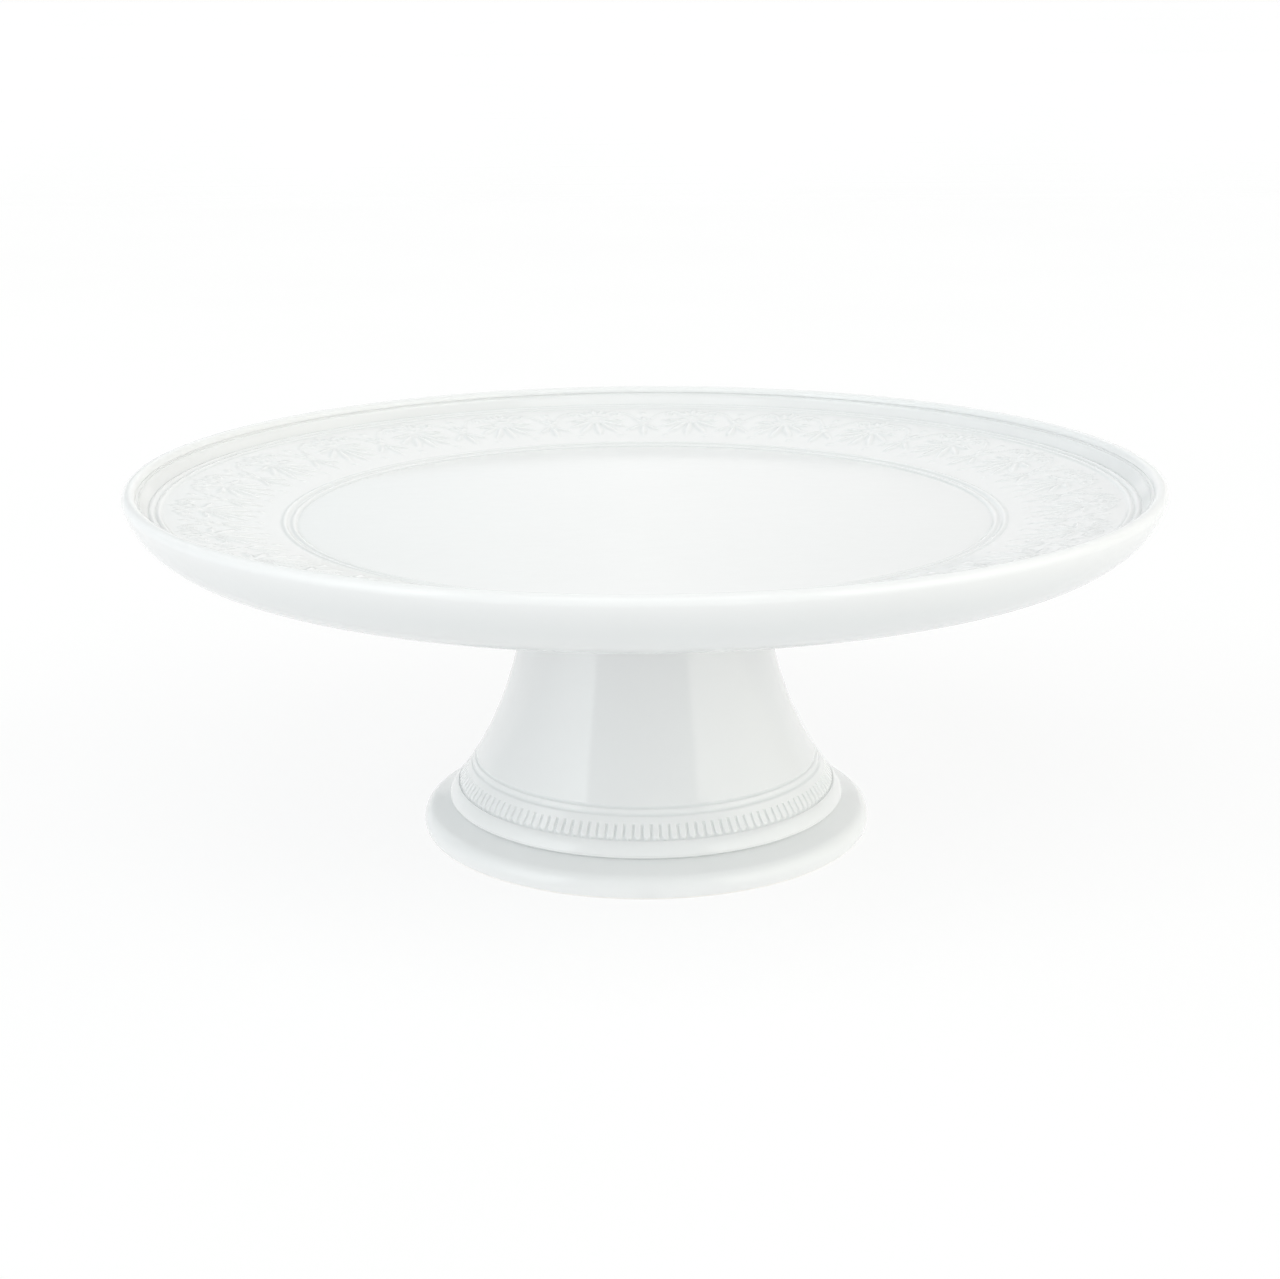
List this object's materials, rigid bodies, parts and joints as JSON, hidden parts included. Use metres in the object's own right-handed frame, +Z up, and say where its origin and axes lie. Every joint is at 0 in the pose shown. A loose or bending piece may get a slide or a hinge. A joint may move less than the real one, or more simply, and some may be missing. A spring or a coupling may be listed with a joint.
{
  "type": "cake stand",
  "caption": "Round porcelain cake stand: a wide dished plate with an ornamented rim, screwed from below onto a hollow flared pedestal foot.",
  "frame": {"origin": "centre of the foot ring on the table plane, on the stand's axis", "axes": "+Z up along the axis of revolution, from the foot to the plate"},
  "size_m": [0.32, 0.32, 0.116],
  "materials": {
    "porcelain": "glossy white glaze",
    "silicone": "translucent matt silicone",
    "brass": "turned and knurled",
    "epoxy": "cured epoxy",
    "rubber": "matt black",
    "steel": "stainless, turned"
  },
  "bodies": {
    "root": {"plate": "porcelain", "pedestal": "porcelain", "joint_gasket": "silicone", "threaded_insert": "brass", "insert_bond": "epoxy", "soft_washer": "rubber", "steel_washer": "steel", "lock_washer": "steel", "centre_screw": "steel"}
  },
  "joints": []
}
